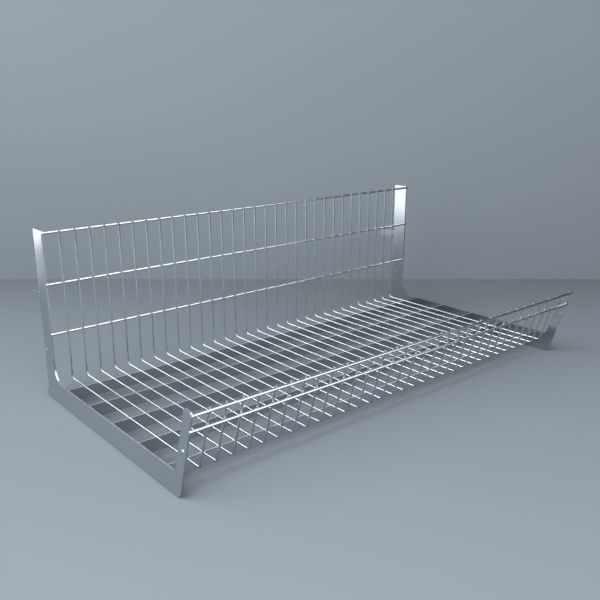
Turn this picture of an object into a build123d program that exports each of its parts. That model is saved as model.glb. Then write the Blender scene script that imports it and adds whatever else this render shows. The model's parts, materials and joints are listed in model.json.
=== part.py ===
from build123d import *
import math
import os

# A welded wire drying rack. Two flat side plates are tied together by round rails and by flat bars
# on edge, and a row of U-shaped wires makes its back, its floor and its low leaning front.
# X runs along the rack, -Y is its front and +Z is up. The origin is the middle of its footprint,
# on the plane that the side plates stand on.

# Side plates, cut from flat steel: upright at the back, leg along the base, leaning strip in front
OVERALL_WIDTH = 1000.0
PLATE_THICKNESS = 3.0
BASE_LENGTH = 500.0
LEG_HEIGHT = 43.0
UPRIGHT_HEIGHT = 342.0
UPRIGHT_WIDTH = 39.0
UPRIGHT_CORNER_RADIUS = 1.5
STRIP_LENGTH = 162.0
STRIP_WIDTH = 21.0
STRIP_LEAN = 16.0
STRIP_FRONT_RADIUS = 5.0
STRIP_REAR_RADIUS = 9.0
BACK_FILLET_RADIUS = 30.0
FRONT_FILLET_RADIUS = 8.0
TOE_RADIUS = 15.0

# Hook tongue behind the upright, which slopes down to the rear
HOOK_LENGTH = 49.0
HOOK_HEIGHT = 15.0
HOOK_SLOPE = 9.0
HOOK_DROP = 123.5
HOOK_END_RADIUS = 6.5
HOOK_RELIEF_RADIUS = 2.2
HOOK_NOTCH_WIDTH = 3.0
HOOK_NOTCH_DEPTH = 4.5
HOOK_NOTCH_INSET = 11.0

# Heel lug at the foot of the upright
HEEL_DEPTH = 8.5
HEEL_HEIGHT = 13.5
HEEL_TOP_RADIUS = 1.5
HEEL_FOOT_RADIUS = 6.5

# Fixing holes
HOLE_DIAMETER = 6.0
REAR_HOLE_INSET = 7.6
REAR_HOLE_HEIGHT = 103.5
FRONT_HOLE_INSET = 9.0
FRONT_HOLE_DROP = 72.5

# Round rails, which lie in half-round seats in the plates' front edges
RAIL_DIAMETER = 5.0
SEAT_CLEARANCE = 0.1
BACK_RAIL_COVER = 1.7
BACK_RAIL_LOWER_HEIGHT = 140.4
FRONT_RAIL_COVER = 1.4
FRONT_RAIL_PITCH = 29.0

# Flat floor bars on edge between the plates, level with the top of the legs
BAR_COUNT = 5
BAR_HEIGHT = 25.0
BAR_THICKNESS = 3.0
FIRST_BAR_INSET = 54.0
LAST_BAR_INSET = 26.0

# Basket wires, one U each
WIRE_COUNT = 31
WIRE_DIAMETER = 3.5
WIRE_LEFT_MARGIN = 30.0
WIRE_RIGHT_MARGIN = 55.0
WIRE_BEND_RADIUS = 8.0
WIRE_BACK_OVERHANG = 3.0
WIRE_FRONT_OVERHANG = 3.5
WELD_GAP = 0.05

# Lines that the pieces share. Until it is centred, the rack has Y = 0 at the uprights' rear edges.
inner_width = OVERALL_WIDTH - 2 * PLATE_THICKNESS
lean = math.radians(STRIP_LEAN)
slope = math.radians(HOOK_SLOPE)
toe = Vector(-BASE_LENGTH, 0)
strip_up = Vector(-math.sin(lean), math.cos(lean))
strip_in = Vector(math.cos(lean), math.sin(lean))
hook_back = Vector(math.cos(slope), -math.sin(slope))
hook_down = Vector(-math.sin(slope), -math.cos(slope))
hook_reach = HOOK_LENGTH / math.cos(slope)
hook_top = Vector(0, UPRIGHT_HEIGHT - HOOK_DROP)
hook_low = hook_top - Vector(0, HOOK_HEIGHT / math.cos(slope))
wire_offset = (RAIL_DIAMETER + WIRE_DIAMETER) / 2 + WELD_GAP


def on_strip(along, inward=0.0):
    """A point on the leaning strip, measured along its front edge and in from that edge."""
    return toe + strip_up * along + strip_in * inward


def strip_point_at(height, inward):
    """The point at a given height on a line that runs inside the strip's front edge."""
    along = (height - inward * strip_in.Y) / strip_up.Y
    return on_strip(along, inward)


back_rail_line = -UPRIGHT_WIDTH
back_rail_top = UPRIGHT_HEIGHT - BACK_RAIL_COVER - RAIL_DIAMETER / 2
back_rail_middle = (back_rail_top + BACK_RAIL_LOWER_HEIGHT) / 2
front_rail_along = STRIP_LENGTH - FRONT_RAIL_COVER - RAIL_DIAMETER / 2
rail_points = {
    "back_rail_top": Vector(back_rail_line, back_rail_top),
    "back_rail_middle": Vector(back_rail_line, back_rail_middle),
    "back_rail_lower": Vector(back_rail_line, BACK_RAIL_LOWER_HEIGHT),
    "front_rail_top": on_strip(front_rail_along),
    "front_rail_lower": on_strip(front_rail_along - FRONT_RAIL_PITCH),
}
strip_heel = strip_point_at(LEG_HEIGHT, STRIP_WIDTH)
front_reach = rail_points["front_rail_top"].X - RAIL_DIAMETER / 2
centre_y = (HOOK_LENGTH + front_reach) / 2


def plate_outline():
    """The side plate's outline, corner by corner from the heel round to the back of the upright."""
    corners = [
        (Vector(HEEL_DEPTH, HEEL_HEIGHT), HEEL_TOP_RADIUS),
        (Vector(HEEL_DEPTH, 0), HEEL_FOOT_RADIUS),
        (toe, TOE_RADIUS),
        (on_strip(STRIP_LENGTH), STRIP_FRONT_RADIUS),
        (on_strip(STRIP_LENGTH, STRIP_WIDTH), STRIP_REAR_RADIUS),
        (strip_heel, FRONT_FILLET_RADIUS),
        (Vector(-UPRIGHT_WIDTH, LEG_HEIGHT), BACK_FILLET_RADIUS),
        (Vector(-UPRIGHT_WIDTH, UPRIGHT_HEIGHT), UPRIGHT_CORNER_RADIUS),
        (Vector(0, UPRIGHT_HEIGHT), UPRIGHT_CORNER_RADIUS),
        (hook_top, 0),
        (hook_top + hook_back * hook_reach, HOOK_END_RADIUS),
        (hook_low + hook_back * hook_reach, HOOK_END_RADIUS),
        (hook_low, 0),
        (Vector(0, HEEL_HEIGHT), 0),
    ]
    points = [point for point, _ in corners]
    radii = [radius for _, radius in corners]
    return make_face(FilletPolyline(*points, radius=radii, close=True))


def plate_cuts():
    """What is cut from the outline: rail seats, fixing holes, hook reliefs and the hook's notch."""
    notch_mouth = hook_low + hook_back * (hook_reach - HOOK_NOTCH_INSET)
    notch_end = notch_mouth - hook_down * (HOOK_NOTCH_DEPTH - HOOK_NOTCH_WIDTH / 2)
    rear_hole = Vector(-REAR_HOLE_INSET, REAR_HOLE_HEIGHT)
    front_hole = on_strip(STRIP_LENGTH - FRONT_HOLE_DROP, FRONT_HOLE_INSET)
    seats = [Pos(point) * Circle(RAIL_DIAMETER / 2 + SEAT_CLEARANCE) for point in rail_points.values()]
    holes = [Pos(point) * Circle(HOLE_DIAMETER / 2) for point in (rear_hole, front_hole)]
    reliefs = [Pos(point) * Circle(HOOK_RELIEF_RADIUS) for point in (hook_top, hook_low)]
    notch = SlotCenterPoint(notch_mouth, notch_end, HOOK_NOTCH_WIDTH)
    return seats + holes + reliefs + [notch]


def side_plate(inner_x, outward):
    """A side plate that is extruded from its inner face outward, which is -1 or 1 along X."""
    profile = plate_outline() - plate_cuts()
    plate = extrude(Plane.YZ * profile, amount=outward * PLATE_THICKNESS)
    return Pos(inner_x, 0, 0) * plate


def rail(point):
    """A round rail across both plates, with its ends flush with their outer faces."""
    return Pos(0, point.X, point.Y) * Cylinder(RAIL_DIAMETER / 2, OVERALL_WIDTH, rotation=(0, 90, 0))


def floor_bar(index):
    """A flat bar on edge that butts on the plates' inner faces."""
    first = -UPRIGHT_WIDTH - FIRST_BAR_INSET
    last = strip_heel.X + LAST_BAR_INSET
    y = first + (last - first) * index / (BAR_COUNT - 1)
    return Pos(0, y, LEG_HEIGHT - BAR_HEIGHT / 2) * Box(inner_width, BAR_THICKNESS, BAR_HEIGHT)


def basket_wire():
    """One wire: down in front of the back rails, along over the bars, up behind the front rails."""
    back_line = back_rail_line - wire_offset
    floor_line = LEG_HEIGHT + WIRE_DIAMETER / 2 + WELD_GAP
    path = Plane.YZ * FilletPolyline(
        (back_line, back_rail_top + WIRE_BACK_OVERHANG),
        (back_line, floor_line),
        strip_point_at(floor_line, wire_offset),
        on_strip(front_rail_along + WIRE_FRONT_OVERHANG, wire_offset),
        radius=WIRE_BEND_RADIUS,
    )
    section = Plane(origin=path @ 0, z_dir=path % 0) * Circle(WIRE_DIAMETER / 2)
    return sweep(section, path=path)


pieces = {
    "left_side_plate": side_plate(-inner_width / 2, -1),
    "right_side_plate": side_plate(inner_width / 2, 1),
}
for name, point in rail_points.items():
    pieces[name] = rail(point)
for index in range(BAR_COUNT):
    pieces[f"floor_bar_{index + 1}"] = floor_bar(index)
wire = basket_wire()
first_wire_x = WIRE_LEFT_MARGIN - inner_width / 2
wire_pitch = (inner_width - WIRE_LEFT_MARGIN - WIRE_RIGHT_MARGIN) / (WIRE_COUNT - 1)
for index in range(WIRE_COUNT):
    pieces[f"basket_wire_{index + 1:02d}"] = Pos(first_wire_x + index * wire_pitch, 0, 0) * wire

os.makedirs("parts", exist_ok=True)
for name, piece in pieces.items():
    export_step(Pos(0, -centre_y, 0) * piece, f"parts/{name}.step")
print(f"{len(pieces)} pieces, wires {wire_pitch:.2f} mm apart, centre line at {centre_y:.2f} mm")
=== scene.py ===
# %% [markdown]
# # A welded wire dish rack in a small studio
# The rack comes from its solid model: two cut side plates, round rails, flat floor bars and a row of bent
# wires. Nothing on it moves. This lesson keeps every one of those pieces where it is, gives each a metal
# finish, adds the welds that hold them together, and sets up a floor, a wall, lamps and a camera.

# %% Load the rack
import json
import math

import bmesh
import bpy
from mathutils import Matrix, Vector, noise


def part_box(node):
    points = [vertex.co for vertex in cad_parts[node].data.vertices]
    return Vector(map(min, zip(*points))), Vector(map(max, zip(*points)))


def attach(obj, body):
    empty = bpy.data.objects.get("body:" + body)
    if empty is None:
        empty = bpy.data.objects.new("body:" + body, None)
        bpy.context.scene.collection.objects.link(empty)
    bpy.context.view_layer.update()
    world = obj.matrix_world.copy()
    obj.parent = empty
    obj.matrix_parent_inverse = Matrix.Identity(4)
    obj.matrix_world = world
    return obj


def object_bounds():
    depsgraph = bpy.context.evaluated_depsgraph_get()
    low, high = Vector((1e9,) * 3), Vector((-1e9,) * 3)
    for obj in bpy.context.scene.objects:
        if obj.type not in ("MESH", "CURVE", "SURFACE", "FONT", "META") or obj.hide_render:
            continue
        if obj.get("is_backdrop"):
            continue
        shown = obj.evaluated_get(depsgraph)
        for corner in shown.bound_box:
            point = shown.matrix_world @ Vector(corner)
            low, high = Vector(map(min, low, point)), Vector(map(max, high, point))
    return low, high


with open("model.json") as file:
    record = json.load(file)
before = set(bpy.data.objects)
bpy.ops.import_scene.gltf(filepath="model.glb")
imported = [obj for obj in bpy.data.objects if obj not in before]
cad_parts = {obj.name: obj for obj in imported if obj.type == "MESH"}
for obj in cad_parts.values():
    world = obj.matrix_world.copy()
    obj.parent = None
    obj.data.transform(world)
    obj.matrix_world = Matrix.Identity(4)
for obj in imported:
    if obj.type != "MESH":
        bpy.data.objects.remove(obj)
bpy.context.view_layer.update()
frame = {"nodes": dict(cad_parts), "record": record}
nodes = frame["nodes"]

# %% [markdown]
# ## The camera
# The camera stands to the left of the rack and a little above it, and looks along its length and down. A
# camera in Blender looks along its own -Z, so it is first tipped up from the floor by a right angle less the
# downward pitch, and then turned about the vertical. The lens is given by how wide the picture's sensor is.

# %% Camera
CAMERA_PLACE = Vector((-0.9819, -1.1050, 0.5931))
CAMERA_PITCH = math.radians(16.222)
CAMERA_TURN = math.radians(40.076)
SENSOR = 36.0
LENS = 43.50
NEAREST_SEEN = 0.02

camera = bpy.data.objects.new("camera", bpy.data.cameras.new("camera"))
camera.data.sensor_width = SENSOR
camera.data.lens = LENS
camera.data.clip_start = NEAREST_SEEN
camera.location = CAMERA_PLACE
camera.rotation_euler = (math.pi / 2 - CAMERA_PITCH, 0, -CAMERA_TURN)
bpy.context.scene.collection.objects.link(camera)
bpy.context.scene.camera = camera
bpy.context.scene.view_settings.view_transform = "Standard"
print("camera at", tuple(round(v, 3) for v in CAMERA_PLACE), "lens", LENS)

# %% [markdown]
# ## Sums in a material
# A finish is a small sum over the surface: some grain, some wear, a few scratches. Wiring that by hand hides
# the sum, so one class wraps a node's output and lets Python's own signs build the Math nodes.

# %% A value that varies over a surface
class Value:
    """One output of a material's nodes, which can be added, taken away and multiplied."""

    def __init__(self, tree, socket=None):
        self.tree = tree
        self.socket = socket

    def node(self, kind, settings=None, sockets=None, output=0):
        """Adds a node, sets it up, feeds its sockets, and gives one of its outputs."""
        made = self.tree.nodes.new(kind)
        for name, setting in (settings or {}).items():
            setattr(made, name, setting)
        for name, given in (sockets or {}).items():
            if isinstance(given, Value):
                self.tree.links.new(given.socket, made.inputs[name])
            else:
                made.inputs[name].default_value = given
        return Value(self.tree, made.outputs[output])

    def sum(self, operation, first, second):
        return self.node("ShaderNodeMath", {"operation": operation}, {0: first, 1: second})

    def __add__(self, other):
        return self.sum("ADD", self, other)

    def __sub__(self, other):
        return self.sum("SUBTRACT", self, other)

    def __rsub__(self, other):
        return self.sum("SUBTRACT", other, self)

    def __mul__(self, other):
        return self.sum("MULTIPLY", self, other)

    __radd__ = __add__
    __rmul__ = __mul__


print("signs that build nodes: + - *")

# %% [markdown]
# The finishes share a few steps: noise over the piece, a slope between two limits, a swing about the middle,
# a blend of two colours, and the links into the shader. Each is a short function, so that a finish reads as
# a recipe.

# %% Steps that the finishes share
def new_finish(name):
    """A material with nothing but its shader, and a value to start its nodes from."""
    material = bpy.data.materials.new(name)
    material.use_nodes = True
    tree = material.node_tree
    return material, tree.nodes["Principled BSDF"], Value(tree)


def cells(count, axis=None, count_along=None):
    """Cells of noise to the metre along X, Y and Z. Along one axis there may be fewer."""
    counts = [count, count, count]
    if axis is not None:
        counts[axis] = count_along
    return counts


def grain(start, counts, detail):
    """Noise over the object's own metres."""
    place = start.node("ShaderNodeTexCoord", output="Object")
    spread = start.node("ShaderNodeVectorMath", {"operation": "MULTIPLY"}, {0: place, 1: counts})
    return start.node("ShaderNodeTexNoise", {}, {"Vector": spread, "Scale": 1.0, "Detail": detail})


def band(value, low, high):
    """0 below low, 1 above high and a straight slope between."""
    limits = {"From Min": low, "From Max": high}
    return value.node("ShaderNodeMapRange", {}, {"Value": value, **limits})


def swing(value, amount):
    """Noise from 0 to 1 as a swing to both sides of nothing."""
    return (value - 0.5) * amount


def blend(amount, first, second):
    """One colour turning into another. Each is three numbers or a value."""
    ends = [end if isinstance(end, Value) else (*end, 1.0) for end in (first, second)]
    sockets = {"Factor": amount, "A": ends[0], "B": ends[1]}
    return amount.node("ShaderNodeMix", {"data_type": "RGBA"}, sockets, output=2)


def feed(shader, socket, value):
    value.tree.links.new(value.socket, shader.inputs[socket])


def emboss(shader, height, depth):
    """Bumps of so many metres in the shader's normal."""
    bump = height.node("ShaderNodeBump", {}, {"Height": height, "Strength": 1.0, "Distance": depth})
    feed(shader, "Normal", bump)


steps = (new_finish, cells, grain, band, swing, blend, feed, emboss)
print("steps:", [step.__name__ for step in steps])

# %% [markdown]
# ## Sheet steel
# The side plates and the floor bars are cut from cold-rolled sheet. The rolls leave a fine grain along the
# sheet, handling leaves faint clouds and hair scratches, and the cut edges are fresh metal, brighter than the
# faces. The grain is noise that is stretched along the rack's depth on the plates and along its length on the
# bars. The edges could have a material of their own, but the way that the surface points already tells an
# edge from a face, so one metallic shader does for both.

# %% Sheet steel
NOISE_MIDDLE = (0.35, 0.65)
ROLLED_CELLS = 1500.0
ROLLED_CELLS_ALONG = 220.0
HAIR_CELLS = 2600.0
HAIR_CELLS_ALONG = 40.0
HAIR_THRESHOLD = (0.66, 0.78)
CLOUD_CELLS = 9.0
FACE_THRESHOLD = (0.5, 0.9)
CUT_EDGE_COLOUR = (0.86, 0.88, 0.90)
SHEET_RELIEF = 0.000004


def sheet_finish(name, light, dark, rough, along):
    """Satin rolled steel, with its grain along one axis, 0 for X or 1 for Y."""
    material, shader, start = new_finish(name)
    shader.inputs["Metallic"].default_value = 1.0
    rolled = grain(start, cells(ROLLED_CELLS, along, ROLLED_CELLS_ALONG), 3.0)
    cloud = grain(start, cells(CLOUD_CELLS), 3.0)
    scratch = band(grain(start, cells(HAIR_CELLS, along, HAIR_CELLS_ALONG), 1.0), *HAIR_THRESHOLD)
    facing = start.node("ShaderNodeNewGeometry", output="Normal")
    split = facing.node("ShaderNodeSeparateXYZ", {}, {0: facing}, output=1 - along)
    flat = split.node("ShaderNodeMath", {"operation": "ABSOLUTE"}, {0: split})
    cut_edge = 1.0 - band(flat, *FACE_THRESHOLD)
    face = blend(band(rolled * 0.5 + cloud * 0.5, *NOISE_MIDDLE), dark, light)
    feed(shader, "Base Color", blend(cut_edge, face, CUT_EDGE_COLOUR))
    worn = rough + swing(rolled, 0.04) + swing(cloud, 0.08)
    feed(shader, "Roughness", worn + cut_edge * 0.04 - scratch * 0.03)
    emboss(shader, rolled + scratch * 0.6, SHEET_RELIEF)
    return material


plate_steel = sheet_finish("plate_steel", (0.62, 0.64, 0.66), (0.59, 0.61, 0.63), 0.22, 1)
bar_steel = sheet_finish("bar_steel", (0.58, 0.60, 0.62), (0.55, 0.57, 0.59), 0.24, 0)
print("sheet finishes:", plate_steel.name, bar_steel.name)

# %% [markdown]
# ## Bright drawn wire
# The wires and rails were drawn through a die and plated, so they are smooth and bright, with fine lines
# along them. A line along a bent wire can't follow one axis. But the direction that the surface faces, seen
# along the wire, is the same all the way round the bend, so noise over that direction gives lines that follow
# it.

# %% Bright drawn wire
DRAWN_LINES = {"Scale": 9.0, "Detail": 4.0}
TARNISH_CELLS = 35.0
PIT_CELLS = 1100.0
PLATING_DULL = (0.74, 0.76, 0.78)
PLATING_BRIGHT = (0.84, 0.86, 0.88)
PLATING_ROUGHNESS = 0.16
DRAWN_RELIEF = 0.00002


def drawn_finish(name, across):
    """Plated wire. Across is the axis, 0 for X or 2 for Z, that tells one drawn line from the next."""
    material, shader, start = new_finish(name)
    shader.inputs["Metallic"].default_value = 1.0
    facing = start.node("ShaderNodeNewGeometry", output="Normal")
    around = start.node("ShaderNodeSeparateXYZ", {}, {0: facing}, output=across)
    lines = start.node("ShaderNodeTexNoise", {"noise_dimensions": "1D"}, {"W": around, **DRAWN_LINES})
    tarnish = grain(start, cells(TARNISH_CELLS), 2.0)
    pits = grain(start, cells(PIT_CELLS), 2.0)
    wear = band(lines * 0.6 + tarnish * 0.4, *NOISE_MIDDLE)
    feed(shader, "Base Color", blend(wear, PLATING_DULL, PLATING_BRIGHT))
    feed(shader, "Roughness", PLATING_ROUGHNESS + swing(lines, 0.10) + swing(tarnish, 0.12))
    emboss(shader, lines * 0.5 + pits * 0.5, DRAWN_RELIEF)
    return material


wire_plating = drawn_finish("wire_plating", 0)
rail_plating = drawn_finish("rail_plating", 2)
print("drawn finishes:", wire_plating.name, rail_plating.name)

# %% Give each piece its finish
FINISHES = {"side_plate": plate_steel, "floor_bar": bar_steel, "wire": wire_plating, "rail": rail_plating}
for piece in frame["record"]["subparts"]:
    for slot in nodes[piece["node"]].material_slots:
        slot.material = FINISHES[piece["material_slot"]]
print({slot: finish.name for slot, finish in FINISHES.items()})

# %% [markdown]
# ## Weld metal
# The rack is welded, and weld metal was molten: it is duller than the wire, with a fine crust and a faint
# straw tint where the heat was. The welds are many and small, so each kind is drawn into one mesh, which then
# rides on the rack as a single piece.

# %% Weld metal
HEAT_CELLS = 260.0
CRUST_CELLS = 2400.0
WELD_COLOUR = (0.52, 0.54, 0.56)
STRAW_COLOUR = (0.62, 0.61, 0.59)
WELD_ROUGHNESS = 0.30
CRUST_RELIEF = 0.00005


def weld_finish(name):
    """Bare steel that was melted."""
    material, shader, start = new_finish(name)
    shader.inputs["Metallic"].default_value = 1.0
    heat = grain(start, cells(HEAT_CELLS), 2.0)
    crust = grain(start, cells(CRUST_CELLS), 3.0)
    feed(shader, "Base Color", blend(band(heat, *NOISE_MIDDLE), WELD_COLOUR, STRAW_COLOUR))
    feed(shader, "Roughness", WELD_ROUGHNESS + swing(crust, 0.16) + swing(heat, 0.10))
    emboss(shader, crust, CRUST_RELIEF)
    return material


weld_steel = weld_finish("weld_steel")
print("weld finish:", weld_steel.name)

# %% [markdown]
# ## Spot welds
# Each wire is held where it crosses a rail or a bar. Two electrodes press the metal together and melt it, and
# a flat, uneven cushion of steel is left between the two. A squashed ball would be too even, so each cushion
# is a few rings of points that noise pushes in and out, with a skin over them.

# %% One spot weld
SPOT_SIDES = 12
SPOT_PROFILE = ((-0.9, 0.55), (-0.4, 0.95), (0.4, 0.95), (0.9, 0.55))
SPOT_UNEVENNESS = 0.2
NOISE_BETWEEN_SPOTS = 900
NOISE_ROUND_SPOT = 600


def skin(mesh, rings):
    """Closes a row of rings into a solid shape."""
    for lower, upper in zip(rings, rings[1:]):
        for side in range(len(lower)):
            after = (side + 1) % len(lower)
            mesh.faces.new((lower[side], lower[after], upper[after], upper[side]))
    mesh.faces.new(rings[0][::-1])
    mesh.faces.new(rings[-1])


def weld_spot(mesh, place, across, along, thick):
    """A flat uneven cushion of metal, given by its middle and its three half-sizes as vectors."""
    rings = []
    for height, width in SPOT_PROFILE:
        ring = []
        for side in range(SPOT_SIDES):
            angle = 2 * math.pi * side / SPOT_SIDES
            reach = across * math.cos(angle) + along * math.sin(angle)
            cell = place * NOISE_BETWEEN_SPOTS + reach * NOISE_ROUND_SPOT
            uneven = 1 + SPOT_UNEVENNESS * noise.noise(cell)
            ring.append(mesh.verts.new(place + reach * width * uneven + thick * height))
        rings.append(ring)
    skin(mesh, rings)


print("a spot weld has", SPOT_SIDES * len(SPOT_PROFILE), "points")

# %% [markdown]
# A spot sits half-way between the two surfaces that touch. The boxes of the pieces give every place that is
# needed: a wire's middle along the rack, a rail's axis, the top of a bar. The front leans, and the line
# through its two rails gives the lean.

# %% Where the pieces are
X_WAY = Vector((1, 0, 0))
Y_WAY = Vector((0, 1, 0))
Z_WAY = Vector((0, 0, 1))


def middle(node):
    low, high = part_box(node)
    return (Vector(low) + Vector(high)) / 2


strip_up = (middle("front_rail_top") - middle("front_rail_lower")).normalized()
strip_in = strip_up.cross(X_WAY)
rail_low, rail_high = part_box("back_rail_top")
rail_radius = (rail_high[2] - rail_low[2]) / 2
wires = sorted(name for name in nodes if name.startswith("basket_wire"))
rails = sorted(name for name in nodes if "_rail_" in name)
bars = sorted(name for name in nodes if name.startswith("floor_bar"))
print(len(wires), "wires cross", len(rails), "rails and", len(bars), "bars")

# %% Spot welds where the wires cross
SPOT_ON_RAIL = (0.0024, 0.0026, 0.0009)
SPOT_ON_BAR = (0.0027, 0.0017, 0.0009)
TO_WIRE = {"back": -Y_WAY, "front": strip_in}
ALONG_WIRE = {"back": Z_WAY, "front": strip_up}


def weld_piece(name, mesh):
    """Turns drawn welds into one piece that rides on the rack."""
    bmesh.ops.recalc_face_normals(mesh, faces=mesh.faces)
    data = bpy.data.meshes.new(name)
    mesh.to_mesh(data)
    mesh.free()
    data.materials.append(weld_steel)
    data.shade_smooth()
    piece = bpy.data.objects.new(name, data)
    bpy.context.scene.collection.objects.link(piece)
    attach(piece, "root")
    print(name, len(data.vertices), "points")


spots = bmesh.new()
for wire in wires:
    wire_x = middle(wire).x
    across, along, thick = SPOT_ON_RAIL
    for rail in rails:
        row = rail.split("_")[0]
        place = Vector((wire_x, middle(rail).y, middle(rail).z)) + TO_WIRE[row] * rail_radius
        weld_spot(spots, place, X_WAY * across, ALONG_WIRE[row] * along, TO_WIRE[row] * thick)
    across, along, thick = SPOT_ON_BAR
    for bar in bars:
        place = Vector((wire_x, middle(bar).y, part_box(bar)[1][2]))
        weld_spot(spots, place, X_WAY * across, Y_WAY * along, Z_WAY * thick)
weld_piece("spot_welds", spots)

# %% [markdown]
# ## Fillet welds
# The bars butt on the side plates and the rails lie in seats in their edges. A run of weld fills one inside
# corner of each, a little fuller than a straight fillet, and its ripples show where the torch paused. The
# runs are on the rear side, where they don't show from the front. A run is a row of cross-sections along a
# path: up the rear of a bar's end, or round the back of a rail.

# %% One fillet weld
FILLET_LEG = 0.0020
FILLET_FULLNESS = 0.25
FILLET_SINK = 0.0003
FILLET_STEPS = 4
RIPPLE_PITCH = 0.0016
RIPPLE_DEPTH = 0.08
RUN_START = 0.35
RUN_IN = 0.0016
RING_SPACING = 0.0004


def fillet_weld(mesh, length, corner_at):
    """A run of weld. Corner_at gives a place along it and the two ways that its legs go from there."""
    rings = []
    count = max(2, round(length / RING_SPACING))
    for index in range(count + 1):
        travel = length * index / count
        taper = min(1.0, RUN_START + min(travel, length - travel) / RUN_IN)
        leg = FILLET_LEG * taper * (1 + RIPPLE_DEPTH * math.cos(2 * math.pi * travel / RIPPLE_PITCH))
        corner, first, second = corner_at(travel)
        root = corner - (first + second) * FILLET_SINK
        ring = [mesh.verts.new(root)]
        for step in range(FILLET_STEPS + 1):
            turn = step / FILLET_STEPS
            bulge = 1 + FILLET_FULLNESS * math.sin(math.pi * turn)
            reach = (first * (1 - turn) + second * turn) * (leg + FILLET_SINK)
            ring.append(mesh.verts.new(root + reach * bulge))
        rings.append(ring)
    skin(mesh, rings)


print("a fillet weld has a section every", RING_SPACING * 1000, "mm")

# %% Fillet welds at the side plates
SEAT_ANGLE = math.radians(55)
TO_PLATE = {"back": Y_WAY, "front": strip_in}
bar_low, bar_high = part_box(bars[0])
plate_faces = ((bar_low[0], X_WAY), (bar_high[0], -X_WAY))

runs = bmesh.new()
for bar in bars:
    low, high = (Vector(corner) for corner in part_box(bar))
    for face_x, inward in plate_faces:
        run_foot = Vector((face_x, high.y, low.z))
        fillet_weld(runs, high.z - low.z, lambda travel: (run_foot + Z_WAY * travel, inward, Y_WAY))
for rail in rails:
    row = rail.split("_")[0]
    for face_x, inward in plate_faces:
        axis = Vector((face_x, middle(rail).y, middle(rail).z))

        def round_rail(travel):
            angle = travel / rail_radius - SEAT_ANGLE
            radial = TO_PLATE[row] * math.cos(angle) + ALONG_WIRE[row] * math.sin(angle)
            return axis + radial * rail_radius, inward, radial

        fillet_weld(runs, 2 * SEAT_ANGLE * rail_radius, round_rail)
weld_piece("fillet_welds", runs)

# %% [markdown]
# ## The studio
# A wall stands behind the rack, square to the way the camera looks, and meets the floor in a plain line. Both
# are the same cool grey matt paint, with painted shade that darkens it toward the corner between them. They
# aren't part of the rack, so they are marked as the stage. The wall ends just outside the picture on the
# left, which leaves a gap for the light from behind, and its back is clear, so that it never hides the rack
# when it is looked at from the other side.

# %% Where the wall stands
WALL_DISTANCE = 2.283
look = Vector((math.sin(CAMERA_TURN), math.cos(CAMERA_TURN), 0))
aside = Vector((look.y, -look.x, 0))
foot = Vector((CAMERA_PLACE.x, CAMERA_PLACE.y, 0)) + look * WALL_DISTANCE
print("wall foot at", tuple(round(v, 2) for v in foot))

# %% [markdown]
# Bright metal mirrors all of this, so the paint is set for mirrors too. In mirrors the floor's colour has a
# painted sheen: a wire that looks straight down at it sees it darker than one that looks along it. Both
# sheets also have painted shade in mirrors, which darkens them toward their right end, as a room would go
# dark past the lamps. To scattered light the paint is black, so that the lamps alone decide how light it is.

# %% Stage paint
PAINT_LIGHT = (0.385, 0.450, 0.513)
PAINT_DARK = (0.375, 0.440, 0.503)
BLACK = (0.0, 0.0, 0.0)
PAINT_CLOUD_CELLS = 1.3
PAINT_ROUGHNESS = 0.75
CORNER_SHADE_REACH = 0.5
SHEEN_SLOPE = (0.2, 0.5)
RIGHT_END = (0.5, 1.15)
RIGHT_END_SHADE = 0.75


def distance_along(start, way):
    place = start.node("ShaderNodeNewGeometry", output="Position")
    sockets = {0: place, 1: way}
    return start.node("ShaderNodeVectorMath", {"operation": "DOT_PRODUCT"}, sockets, output="Value")


def paint_colour(start, corner):
    """Faintly cloudy grey, with painted shade as deep as corner toward where the floor meets the wall."""
    cloud = grain(start, cells(PAINT_CLOUD_CELLS), 2.0)
    tint = blend(band(cloud, 0.3, 0.7), PAINT_DARK, PAINT_LIGHT)
    wall_line = foot.dot(look)
    # Painted corner shade: the paint darkens toward black near the line where the floor meets the wall.
    corner_shade = band(distance_along(start, look - Z_WAY), wall_line - CORNER_SHADE_REACH, wall_line) * corner
    return blend(corner_shade, tint, BLACK)


def stage_finish(name, steep, corner):
    """Matt paint on a sheet's front, none on its back. Steep: the painted sheen that a mirror above sees."""
    material, shader, start = new_finish(name)
    direct = start.node("ShaderNodeLightPath", output="Is Camera Ray")
    mirrored = start.node("ShaderNodeLightPath", output="Is Glossy Ray")
    passing = start.node("ShaderNodeLightPath", output="Is Transmission Ray")
    painted_sheen = start.node("ShaderNodeLayerWeight", {}, {"Blend": 0.5}, output="Facing")
    # Painted sheen: for mirrors the colour is darker where the sheet is seen from straight above.
    painted_sheen = steep + band(painted_sheen, *SHEEN_SLOPE) * (1.0 - steep)
    # Painted shade: for mirrors the colour darkens toward the sheets' right end.
    right_end_shade = band(distance_along(start, aside), *RIGHT_END) * RIGHT_END_SHADE
    seen = direct + passing + mirrored * painted_sheen * (1.0 - right_end_shade)
    feed(shader, "Base Color", blend(seen, BLACK, paint_colour(start, corner)))
    shader.inputs["Roughness"].default_value = PAINT_ROUGHNESS
    shader.inputs["Specular IOR Level"].default_value = 0.0
    behind = start.node("ShaderNodeNewGeometry", output="Backfacing")
    clear = start.node("ShaderNodeBsdfTransparent")
    paint = Value(start.tree, shader.outputs[0])
    sheet = start.node("ShaderNodeMixShader", {}, {0: behind, 1: paint, 2: clear})
    feed(start.tree.nodes["Material Output"], "Surface", sheet)
    return material


# The second number is the painted sheen that a mirror sees from straight above, the third how deep the
# painted corner shade goes.
floor_paint = stage_finish("floor_paint", 0.45, 0.14)
wall_paint = stage_finish("wall_paint", 1.0, 0.06)
print("stage paints:", floor_paint.name, wall_paint.name)

# %% Floor and wall
FLOOR_DEPTH = 3.0
FLOOR_SIDE = 2.0
WALL_END = 1.02
WALL_HEIGHT = 3.0


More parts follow.
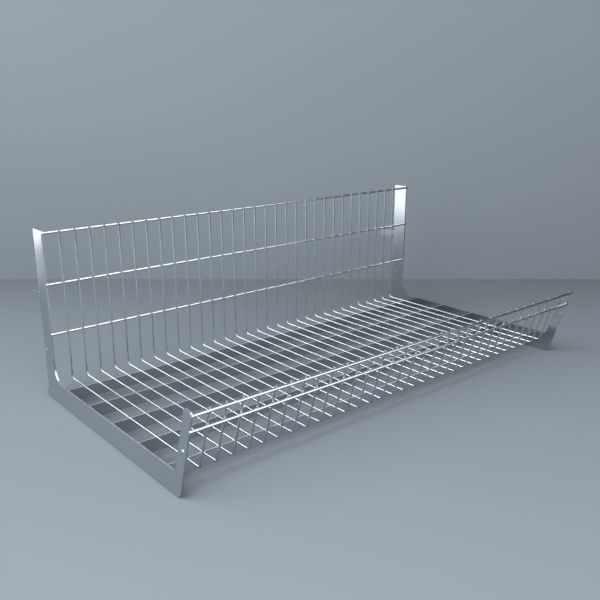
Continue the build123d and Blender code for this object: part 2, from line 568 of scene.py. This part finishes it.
def stage_sheet(name, corners, material):
    mesh = bpy.data.meshes.new(name)
    mesh.from_pydata([tuple(corner) for corner in corners], [], [(0, 1, 2, 3)])
    mesh.materials.append(material)
    sheet = bpy.data.objects.new(name, mesh)
    bpy.context.scene.collection.objects.link(sheet)
    sheet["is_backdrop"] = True


near = foot - look * FLOOR_DEPTH
side = aside * FLOOR_SIDE
rise = Z_WAY * WALL_HEIGHT
wall_left = foot - aside * WALL_END
stage_sheet("floor", (near - side, near + side, foot + side, foot - side), floor_paint)
stage_sheet("wall", (wall_left, foot + side, foot + side + rise, wall_left + rise), wall_paint)
print("floor", FLOOR_DEPTH, "m deep, wall", WALL_HEIGHT, "m high")

# %% [markdown]
# ## Light
# Painted surfaces and bare metal need different lamps. The floor and the wall only scatter light, so one very
# large soft key on the left and a smaller fill in front give them their slow fall from light to dark and the
# soft shadows under the rack. The metal doesn't see these two.

# %% Lamps for the paint
def soft_box(name, place, target, width, height, watts):
    lamp = bpy.data.lights.new(name, "AREA")
    lamp.shape = "RECTANGLE"
    lamp.size = width
    lamp.size_y = height
    lamp.energy = watts
    holder = bpy.data.objects.new(name, lamp)
    holder.location = place
    holder.rotation_euler = (Vector(target) - Vector(place)).to_track_quat("-Z", "Y").to_euler()
    bpy.context.scene.collection.objects.link(holder)
    return holder


key = soft_box("key", (-2.29, 0.1, 2.10), (0.15, 0.2, 0.1), 3.5, 3.5, 90.0)
key.visible_glossy = False
fill = soft_box("fill", (-0.85, -2.40, 2.16), (0.8, 0.0, 0.1), 2.0, 2.0, 52.0)
fill.visible_glossy = False
print("key", key.data.energy, "W, fill", fill.data.energy, "W")

# %% [markdown]
# Metal shows no shading of that kind: it looks like whatever it mirrors. So a few white panels stand where
# the wires, the rails and the plates' faces look, and the paint doesn't see them. Light that the wires throw
# back on the floor would be little but noise, so these caustics are off.

# %% Panels for the metal
PANEL_TINT = (0.90, 0.96, 1.0)
REAR_PANEL_HEIGHT = 0.85
REAR_PANEL_AHEAD = 2.05
REAR_PANEL_LEFT = 1.95


def mirror_panel(name, place, target, width, height, brightness):
    """A panel that only shiny surfaces see. At a brightness of 1 a perfect mirror shows it white."""
    panel = soft_box(name, place, target, width, height, math.pi * brightness * width * height)
    panel.visible_diffuse = False
    panel.data.color = PANEL_TINT


mirror_panel("front_panel", (1.15, -2.17, 1.7), (0.95, -1.19, 1.7), 1.74, 3.0, 2.4)
mirror_panel("top_panel", (0.3, -0.55, 2.1), (-0.5, 0.2, 0.08), 0.9, 0.9, 2.4)
rear_stand = Vector((CAMERA_PLACE.x, CAMERA_PLACE.y, REAR_PANEL_HEIGHT))
rear_place = rear_stand + look * REAR_PANEL_AHEAD - aside * REAR_PANEL_LEFT
mirror_panel("rear_panel", rear_place, rear_place - look, 1.1, 1.6, 2.4)
mirror_panel("side_panel", (-0.62, 1.25, 0.65), (0.122, 0.579, 0.65), 0.36, 1.3, 2.2)
mirror_panel("rear_top_panel", (-1.4, 1.7, 2.6), (0.0, 0.0, 0.1), 2.2, 1.8, 3.2)
mirror_panel("left_panel", (-2.4, 0.6, 2.2), (0.1, 0.2, 0.1), 3.0, 2.5, 2.2)
bpy.context.scene.cycles.caustics_reflective = False

# %% [markdown]
# Past the floor and the wall there is only air. The camera sees it as a plain pale grey, metal mirrors it as
# a dim room, and it lights no paint.

# %% Air
AIR_SEEN = (0.30, 0.34, 0.38)
AIR_MIRRORED = (0.08, 0.09, 0.10)
world = bpy.data.worlds.new("studio_air")
world.use_nodes = True
air = world.node_tree.nodes["Background"]
direct = Value(world.node_tree).node("ShaderNodeLightPath", output="Is Camera Ray")
feed(air, "Color", blend(direct, AIR_MIRRORED, AIR_SEEN))
air.inputs["Strength"].default_value = 1.0
world.cycles_visibility.diffuse = False
bpy.context.scene.world = world
print("air:", world.name)

# %% [markdown]
# ## Closing
# The visual model must keep the solid model's size, so the box of what it shows is printed.

# %% Size of the visual model
low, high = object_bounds()
print("visual box", [round(v, 4) for v in high - low])
